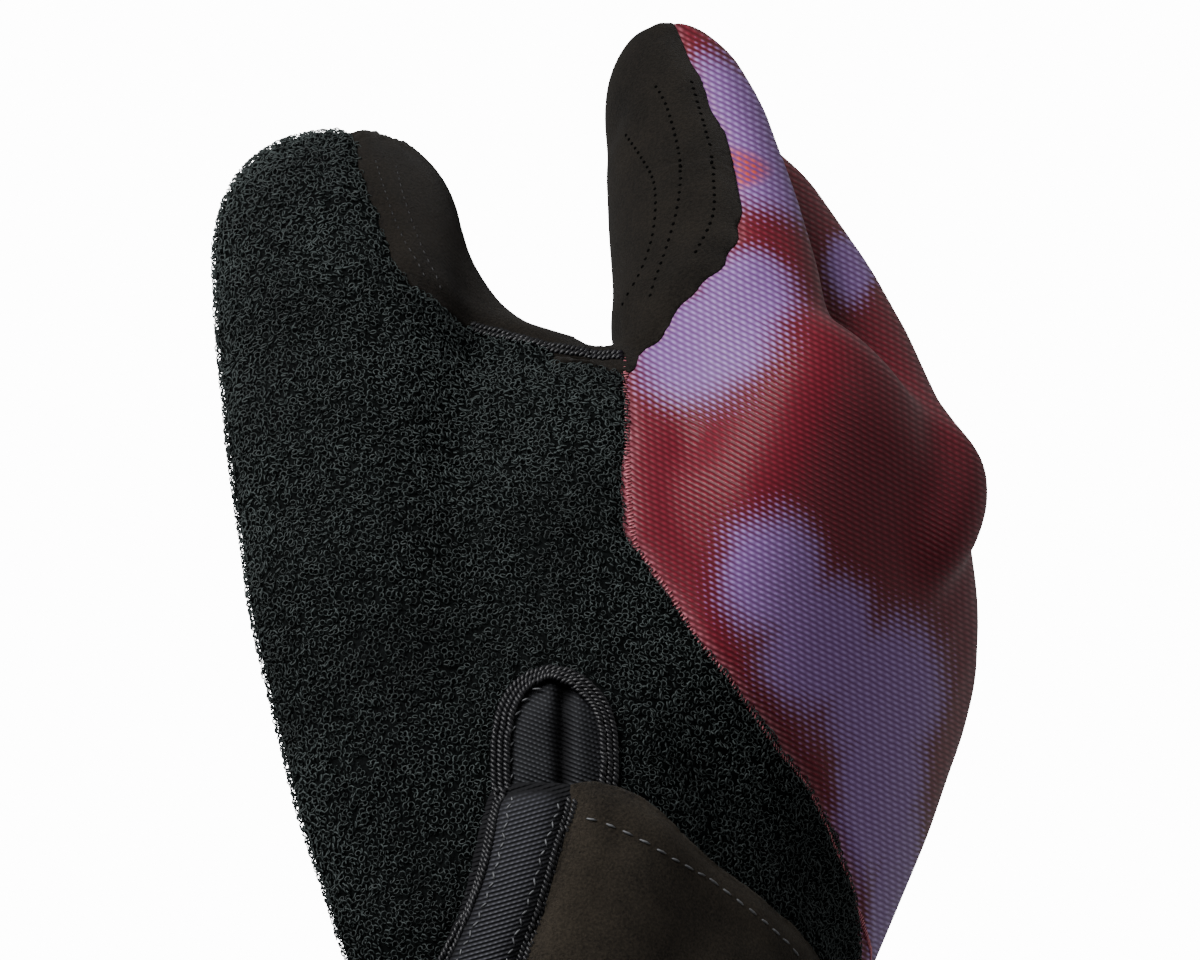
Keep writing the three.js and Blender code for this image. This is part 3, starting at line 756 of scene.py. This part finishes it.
# %% Make the panels
CLOTH = 1.2 * MM
SIDE = {"slot": "side_knit", "material": SIDE_KNIT, "lift": -0.1, "grow": 0.2}
PANEL_LOOKS = [
    {"node": "back_panel", "slot": "satin", "material": SATIN, "lift": 0.0, "grow": 0.15},
    {"node": "palm_panel", "slot": "suede", "material": SUEDE, "lift": 0.16, "grow": 0.1},
    {"node": "thumb_terry", "slot": "terry", "material": TERRY_GROUND_SHADE, "lift": -0.2, "grow": 0.5},
    {"node": "thumb_palm", "slot": "suede", "material": SUEDE, "lift": 0.16, "grow": 0.1},
    {"node": "fourchette_index_middle", **SIDE},
    {"node": "fourchette_middle_ring", **SIDE},
    {"node": "fourchette_ring_little", **SIDE},
    {"node": "wrist_tab", "slot": "tab_suede", "material": TAB_SUEDE, "lift": 0.8, "grow": 0.25},
    {"node": "cuff_binding", "slot": "tape", "material": HEM_TAPE, "lift": 0.5, "grow": 0.2},
]
for look in PANEL_LOOKS:
    sheet = cut_panel(look["node"], look["grow"] * MM, look["lift"] * MM)
    biggest_part(sheet)
    panel = object_from(sheet, look["node"] + "_cloth")
    thicken(panel, CLOTH)
    finish_piece(panel, look["material"], [look["node"]])
    print(panel.name, len(panel.data.polygons), "faces")

# %% [markdown]
# ## Slit tape
# The slit's edge is bound with a folded, glossy knit tape: flat where it is stitched down at both sides, and
# puffed along its middle. It is cut from the skin like a panel, made finer, and then each vertex is raised by
# a profile of its distance from the tape's edge. The gusset under the arch is a knit that folds inwards along
# its middle, so there the height follows the distance from the fold.

# %% The slit tape and the gusset
# The tape's height at a distance from its edge, both in mm.
TAPE_PROFILE = [(-1, 0.0), (0.0, 0.25), (0.5, 0.5), (1.0, 0.45), (1.5, 0.2), (2.4, 0.85), (3.4, 1.45),
                (4.7, 1.7)]
GUSSET_FOLD = [(566, 672), (564, 700), (563, 730), (563, 761), (565, 800)]
GUSSET_SINK = 1.9
GUSSET_PUFF = 2.1
FOLD_WIDTH = 1.0 * MM
OPEN_WIDTH = 2.6 * MM


def shaped_piece(node, grow, name, height_at):
    """A panel with four times as many faces, raised by a function of vertex place and inside distance."""
    bm = cut_panel(node, grow)
    biggest_part(bm)
    bmesh.ops.subdivide_edges(bm, edges=bm.edges[:], cuts=1, use_grid_fill=True)
    bm.normal_update()
    # The relief stays on each vertex, and the knit materials use it to paint shade in low places and a
    # highlight on high ones.
    relief = bm.verts.layers.float.new("relief")
    layer = bm.verts.layers.float["field"]
    for v in bm.verts:
        v[relief] = height_at(v.co, -v[layer])
    for v, normal in [(v, v.normal.copy()) for v in bm.verts]:
        v.co += normal * v[relief] * MM
    piece = object_from(bm, name)
    return thicken(piece, CLOTH)


def line_distance(point, line):
    """How far a point is from the nearest stretch of a line."""
    nearest = []
    for a, b in zip(line, line[1:]):
        _, share = geometry.intersect_point_line(point, a, b)
        nearest.append((point - a.lerp(b, min(max(share, 0.0), 1.0))).length)
    return min(nearest)


def tape_height(place, inside):
    return float(np.interp(inside / MM, *zip(*TAPE_PROFILE)))


fold = [on_skin(x, y)[0] for x, y in GUSSET_FOLD]


def gusset_height(place, inside):
    away = line_distance(place, fold)
    open_share = min(max(inside / OPEN_WIDTH, 0.0), 1.0)
    puff = GUSSET_PUFF * open_share * (1 - falloff(away, FOLD_WIDTH))
    return float(puff - GUSSET_SINK * (0.5 + open_share / 2))


tape = shaped_piece("slit_binding", 0.3 * MM, "slit_tape", tape_height)
finish_piece(tape, TAPE, ["slit_binding"])
gusset = shaped_piece("keyhole_gusset", 1.3 * MM, "gusset_knit", gusset_height)
finish_piece(gusset, RIB_KNIT, ["keyhole_gusset"])
tape_tree = tree_of(tape.data)
print("tape:", len(tape.data.polygons), "faces; gusset:", len(gusset.data.polygons), "faces")

# %% [markdown]
# ## Keyhole piping
# The arch and the tape have overlocked knit edges. Two or three rows of yarn, each of two strands wound
# round each other, run side by side, which is what such an edge looks like at this scale. Each strand is a
# curve with a round bevel, made a mesh.

# %% The corded edges
PIPING_PATH = [(502, 792), (501, 760), (502, 738), (507, 712), (517, 693), (532, 680), (549, 674), (567, 678),
               (584, 689), (598, 705), (606, 728), (608, 752), (608, 776), (606, 800)]
TAPE_LEFT = [(501, 789), (490, 841), (481, 879), (470, 910), (455, 941), (439, 972)]
TAPE_RIGHT = [(572, 800), (568, 815), (557, 846), (548, 879), (540, 907), (532, 930), (521, 964)]
OVERLOCK_PATH = [(470, 327), (500, 335), (531, 343), (560, 350), (590, 356), (622, 357)]
STRAND = 0.24 * MM
TWIST_PITCH = 1.15 * MM


def smooth_path(places, spacing):
    """Evenly spaced points along a smooth curve through places."""
    line = [Vector(p) for p in places]
    dense = []
    for i in range(len(line) - 1):
        a, b = line[max(i - 1, 0)], line[i]
        c, d = line[i + 1], line[min(i + 2, len(line) - 1)]
        for step in range(12):
            t = step / 12
            dense.append(0.5 * (2 * b + (c - a) * t + (2 * a - 5 * b + 4 * c - d) * t * t
                                + (3 * b - a - 3 * c + d) * t ** 3))
    dense.append(line[-1])
    lengths = np.cumsum([0.0] + [(q - p).length for p, q in zip(dense, dense[1:])])
    wanted = np.linspace(0, lengths[-1], max(int(lengths[-1] / spacing), 2) + 1)
    cols = [np.interp(wanted, lengths, [p[k] for p in dense]) for k in range(3)]
    return [Vector(p) for p in zip(*cols)]


def tube_object(name, strands, radius):
    """Round tubes along the strands, as one mesh."""
    curve = bpy.data.curves.new(name, "CURVE")
    curve.dimensions = "3D"
    curve.bevel_depth = radius
    curve.bevel_resolution = 1
    curve.use_fill_caps = True
    for strand in strands:
        spline = curve.splines.new("POLY")
        spline.points.add(len(strand) - 1)
        for point, place in zip(spline.points, strand):
            point.co = (*place, 1)
    piece = bpy.data.objects.new(name, curve)
    bpy.context.scene.collection.objects.link(piece)
    graph = bpy.context.evaluated_depsgraph_get()
    mesh = bpy.data.meshes.new_from_object(piece.evaluated_get(graph))
    bpy.data.objects.remove(piece)
    solid = bpy.data.objects.new(name, mesh)
    bpy.context.scene.collection.objects.link(solid)
    return solid


def wound(path, normals_along, radius, pitch, strands, lift, aside=0.0):
    """Strands wound round a path that lies on the skin, or round one this far to its side."""
    result = []
    for strand in range(strands):
        line = []
        run = 0.0
        for i, place in enumerate(path):
            run += (place - path[i - 1]).length if i else 0.0
            along = (path[min(i + 1, len(path) - 1)] - path[max(i - 1, 0)]).normalized()
            up = normals_along[i]
            side = along.cross(up).normalized()
            turn = math.tau * (run / pitch + strand / strands)
            rise, swing = lift + radius * math.sin(turn), aside + radius * math.cos(turn)
            line.append(place + up * rise + side * swing)
        result.append(line)
    return result


def skin_path(pixels, spacing, tree=None):
    """A path on a surface through pixels, with the surface's normals along it."""
    tree = tree or shaped_tree
    places = [seen_at(tree, x, y)[0] for x, y in pixels]
    found = [tree.find_nearest(p) for p in smooth_path(places, spacing)]
    return [place for place, *_ in found], [normal for _, normal, *_ in found]


def corded_edge(name, pixels, lift, asides, tree=None, replaced=()):
    path, path_normals = skin_path(pixels, 0.2 * MM, tree)
    strands = []
    for aside in asides:
        strands += wound(path, path_normals, STRAND * 1.1, TWIST_PITCH, 2, lift * MM, aside * MM)
    piece = finish_piece(tube_object(name, strands, STRAND), THREAD, replaced)
    length = np.linalg.norm(np.diff(np.array(path), axis=0), axis=1).sum()
    print(name, "%.1f mm long," % (length / MM), len(piece.data.polygons), "faces")


shaped_tree = tree_of(skin.data)
corded_edge("keyhole_cord", PIPING_PATH, 0.25, (-0.85, -0.05, 0.75), replaced=["keyhole_piping"])
corded_edge("tape_cord_left", TAPE_LEFT, 0.1, (-0.3, 0.45), tape_tree)
corded_edge("tape_cord_right", TAPE_RIGHT, 0.1, (-0.4, 0.3), tape_tree)
corded_edge("web_overlock", OVERLOCK_PATH, 0.2, (-0.4, 0.4))

# %% [markdown]
# ## Terry loops
# The loops are what makes terry read as terry, so they are real: a small ring is scattered over the cloth by
# Geometry Nodes, with a Poisson spacing so that no two sit in the same place, and each ring is turned and
# tipped at random from a fixed seed. Four bands of height keep every piece small. The instances are
# realized, so the rings end up as plain mesh.

# %% The terry loops
LOOP_RADIUS = 0.36 * MM
LOOP_YARN = 0.09 * MM
LOOP_SPACING = 0.53 * MM
LOOP_ARC = 1.7 * math.pi
LOOP_BANDS = 4
BAND_SPARE = 5 * MM
LOOP_TIP = 0.75
MOST_LOOPS = 4.0e6


def loop_mesh():
    """Most of a ring of yarn, which lies tipped on the cloth as one loop of terry."""
    bm = bmesh.new()
    section = bmesh.ops.create_circle(bm, segments=3, radius=LOOP_YARN)["verts"]
    bmesh.ops.rotate(bm, verts=section, cent=(0, 0, 0), matrix=Matrix.Rotation(math.pi / 2, 3, "X"))
    bmesh.ops.translate(bm, verts=section, vec=(LOOP_RADIUS, 0, 0))
    bmesh.ops.spin(bm, geom=bm.verts[:] + bm.edges[:], cent=(0, 0, 0), axis=(0, 0, 1), dvec=(0, 0, 0),
                   angle=LOOP_ARC, steps=6)
    bmesh.ops.recalc_face_normals(bm, faces=bm.faces)
    ring = object_from(bm, "one_loop")
    for face in ring.data.polygons:
        face.use_smooth = True
    return ring


def scatter_tree(ring, seed):
    """Geometry nodes that lay copies of a loop all over a cloth."""
    tree = bpy.data.node_groups.new("scatter loops", "GeometryNodeTree")
    tree.interface.new_socket("Cloth", in_out="INPUT", socket_type="NodeSocketGeometry")
    tree.interface.new_socket("Loops", in_out="OUTPUT", socket_type="NodeSocketGeometry")
    given, out = tree.nodes.new("NodeGroupInput"), tree.nodes.new("NodeGroupOutput")
    spread = add(tree, "GeometryNodeDistributePointsOnFaces", distribute_method="POISSON")
    tree.links.new(given.outputs[0], spread.inputs["Mesh"])
    spread.inputs["Distance Min"].default_value = LOOP_SPACING
    spread.inputs["Density Max"].default_value = MOST_LOOPS
    spread.inputs["Seed"].default_value = seed
    turn = add(tree, "FunctionNodeRandomValue", data_type="FLOAT_VECTOR")
    turn.inputs[0].default_value = (-LOOP_TIP, -LOOP_TIP, 0.0)
    turn.inputs[1].default_value = (LOOP_TIP, LOOP_TIP, math.tau)
    turn.inputs["Seed"].default_value = seed + 1
    size = add(tree, "FunctionNodeRandomValue", data_type="FLOAT")
    size.inputs[2].default_value = 0.8
    size.inputs[3].default_value = 1.2
    size.inputs["Seed"].default_value = seed + 2
    source = add(tree, "GeometryNodeObjectInfo")
    source.inputs["Object"].default_value = ring
    tip = add(tree, "FunctionNodeRotateRotation", rotation_space="LOCAL")
    tree.links.new(spread.outputs["Rotation"], tip.inputs["Rotation"])
    euler = add(tree, "FunctionNodeEulerToRotation")
    tree.links.new(turn.outputs[0], euler.inputs[0])
    tree.links.new(euler.outputs[0], tip.inputs["Rotate By"])
    place = add(tree, "GeometryNodeInstanceOnPoints")
    tree.links.new(spread.outputs["Points"], place.inputs["Points"])
    tree.links.new(source.outputs["Geometry"], place.inputs["Instance"])
    tree.links.new(tip.outputs[0], place.inputs["Rotation"])
    tree.links.new(size.outputs[1], place.inputs["Scale"])
    real = add(tree, "GeometryNodeRealizeInstances")
    tree.links.new(place.outputs["Instances"], real.inputs["Geometry"])
    tree.links.new(real.outputs["Geometry"], out.inputs[0])
    return tree


def make_loops():
    ring = loop_mesh()
    low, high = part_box("thumb_terry")
    cuts = np.linspace(low.z, high.z, LOOP_BANDS + 1)
    cuts[0] -= BAND_SPARE
    cuts[-1] += BAND_SPARE
    total = 0
    for band, (bottom, top) in enumerate(zip(cuts, cuts[1:])):
        bm = cut_panel("thumb_terry", -0.1 * MM, 0.12 * MM)
        biggest_part(bm)
        cut_level(bm, bottom, clear_inner=True)
        cut_level(bm, top, clear_outer=True)
        loops = object_from(bm, "terry_loops_%d" % (band + 1))
        nodes = loops.modifiers.new("loops", "NODES")
        nodes.node_group = scatter_tree(ring, 11 + band)
        applied(loops)
        finish_piece(loops, TERRY_LOOP)
        total += len(loops.data.polygons)
    bpy.data.objects.remove(ring)
    return total


print("terry loops:", make_loops(), "faces")

# %% [markdown]
# ## Stitches
# A stitch is a short thread that dives into the cloth at both ends. Each is a squashed ball pulled long,
# laid on the skin along a path, and all the stitches of one seam are a single mesh.

# %% Stitches
TAB_HEM_PATH = [(580, 820), (607, 827), (628, 836), (647, 846), (666, 858), (686, 870), (705, 881),
                (723, 895), (748, 914), (770, 933), (787, 950), (800, 968)]


def stitch_row(name, path, normals_along, pitch, length, width, lift, material, slot, turn=0.0, zigzag=0.0):
    """One seam's stitches, each turned from the path, by turns to either side where there is a zigzag."""
    bm = bmesh.new()
    chance = random.Random(7)
    run = 0.0
    due = pitch / 2
    for i in range(1, len(path)):
        run += (path[i] - path[i - 1]).length
        if run < due:
            continue
        due += pitch
        along = (path[i] - path[i - 1]).normalized()
        up = normals_along[i].normalized()
        side = along.cross(up).normalized()
        turned = Matrix((along, side, side.cross(along))).transposed().to_4x4()
        zigzag = -zigzag
        spun = Matrix.Rotation(turn + zigzag + chance.uniform(-0.12, 0.12), 4, "Z")
        ball = bmesh.ops.create_icosphere(bm, subdivisions=1, radius=1)["verts"]
        bmesh.ops.scale(bm, verts=ball, vec=(length / 2 * chance.uniform(0.85, 1.15), width / 2, width / 2))
        bmesh.ops.transform(bm, verts=ball, matrix=Matrix.Translation(path[i] + up * lift) @ turned @ spun)
    return finish_piece(object_from(bm, name), material)


TAPE_STITCH_LEFT = [(514, 796), (503, 841), (493, 879), (482, 910), (467, 941), (452, 970)]
TAPE_STITCH_RIGHT = [(559, 802), (555, 818), (544, 848), (535, 880), (526, 908), (517, 932), (506, 965)]
PIPING_STITCH = [(511, 786), (510, 760), (511, 739), (516, 716), (525, 700), (538, 689), (550, 684)]
THUMB_STITCHES = [
    [(375, 160), (386, 195), (402, 237), (425, 280)],
    [(395, 165), (404, 200), (420, 245), (440, 290)],
]
INDEX_HOLES = [
    [(626, 134), (640, 155), (655, 185), (655, 225), (640, 275), (622, 310)],
    [(655, 85), (668, 110), (680, 160), (679, 200), (668, 245), (650, 300)],
    [(690, 80), (705, 130), (712, 165), (713, 215), (695, 255)],
]
SATIN_SEAM = [(625, 357), (627, 417), (628, 476), (633, 535), (648, 564), (669, 593), (701, 645), (737, 690),
              (768, 736), (798, 774), (819, 811), (836, 850), (853, 891), (865, 932), (870, 962)]


def stitches(name, slot, pixels, pitch, length, width, lift, material, tree=None, **how):
    path, path_normals = skin_path(pixels, 0.1 * MM, tree)
    stitch_row(name, path, path_normals, pitch * MM, length * MM, width * MM, lift * MM, material, slot,
               **how)


# The tab, tape and piping stitches are dark thread painted grey for their highlights.
stitches("tab_stitches", "tab_suede", TAB_HEM_PATH, 2.3, 1.7, 0.34, 0.86, THREAD_GREY_GLINT)
for side, pixels in (("left", TAPE_STITCH_LEFT), ("right", TAPE_STITCH_RIGHT)):
    stitches("tape_stitches_" + side, "tape", pixels, 1.25, 1.1, 0.26, 0.05, THREAD_GREY_GLINT, tape_tree,
             zigzag=0.5)
stitches("piping_stitches", "overlock", PIPING_STITCH, 2.0, 1.3, 0.26, 0.3, THREAD_GREY_GLINT, turn=0.6)
for row, pixels in enumerate(THUMB_STITCHES):
    stitches("thumb_stitches_%d" % (row + 1), "suede", pixels, 1.3, 0.8, 0.2, 0.14, THREAD)
# The perforations are near-black squashed balls on the suede: painted shade for the holes.
for row, pixels in enumerate(INDEX_HOLES):
    stitches("index_holes_%d" % (row + 1), "suede", pixels, 1.35, 0.6, 0.5, 0.12, HOLE_SHADE)
stitches("satin_ends", "satin", SATIN_SEAM, 0.55, 1.0, 0.24, 0.06, PINK_THREAD, turn=1.35)
print("pieces so far:", len(PIECES))

# %% [markdown]
# ## Floor, light and camera
# The glove is held up in its worn shape, and the camera looks up at it, so the floor lies well below. The
# world is a plain pale studio. One soft light comes from the upper left and a weaker one from the right.

# %% The stage
FLOOR_LEVEL = -4.6
SENSOR = 36
WORLD_SEEN = 14.0
WORLD_LIGHT = 0.3


def make_stage():
    bm = bmesh.new()
    bmesh.ops.create_grid(bm, x_segments=1, y_segments=1, size=20)
    bmesh.ops.translate(bm, verts=bm.verts, vec=(0, 0, FLOOR_LEVEL))
    floor = object_from(bm, "floor")
    material, tree, shader, place = new_material("pale floor", roughness=0.8)
    tree.links.new(colour_mix(tree, noise(tree, place, 3.0), (0.80, 0.80, 0.80, 1), (0.86, 0.86, 0.86, 1)),
                   shader.inputs["Base Color"])
    floor.data.materials.append(material)


def add_light(name, direction, distance, size, power):
    light = bpy.data.lights.new(name, "AREA")
    light.size = size
    light.energy = power
    lamp = bpy.data.objects.new(name, light)
    centre = picture_place(*LOOK_PIXEL, LOOK_DEPTH)
    lamp.location = centre + Vector(direction).normalized() * distance
    lamp.rotation_euler = (centre - lamp.location).to_track_quat("-Z", "Y").to_euler()
    bpy.context.scene.collection.objects.link(lamp)


def make_camera():
    camera = bpy.data.cameras.new("camera")
    camera.sensor_width = SENSOR
    camera.lens = SENSOR * DISTANCE / (PICTURE[0] / PIXELS_PER_METRE)
    camera.clip_end = 50
    holder = bpy.data.objects.new("camera", camera)
    bpy.context.scene.collection.objects.link(holder)
    turned = Matrix((RIGHT, UP, TOWARD)).transposed().to_4x4()
    holder.matrix_world = Matrix.Translation(CAMERA_PLACE) @ turned
    bpy.context.scene.camera = holder


def make_world():
    """A pale world that the camera sees much brighter than the glove does."""
    world = bpy.data.worlds.new("studio")
    world.use_nodes = True
    tree = world.node_tree
    seen = add(tree, "ShaderNodeLightPath").outputs["Is Camera Ray"]
    strength = times_plus(tree, seen, WORLD_SEEN - WORLD_LIGHT, WORLD_LIGHT)
    tree.links.new(strength, tree.nodes["Background"].inputs["Strength"])
    tree.nodes["Background"].inputs["Color"].default_value = (1, 1, 1, 1)
    bpy.context.scene.world = world


make_stage()
add_light("key", TOWARD * 0.7 - RIGHT * 0.75 + UP * 0.95, 0.9, 0.5, 19)
add_light("rim", TOWARD * 0.25 + RIGHT * 0.9 + UP * 0.3, 0.9, 0.5, 1.5)
make_camera()
make_world()
bpy.data.objects.remove(skin)
print("lights and camera stand round", tuple(round(c, 2) for c in picture_place(*LOOK_PIXEL, LOOK_DEPTH)))
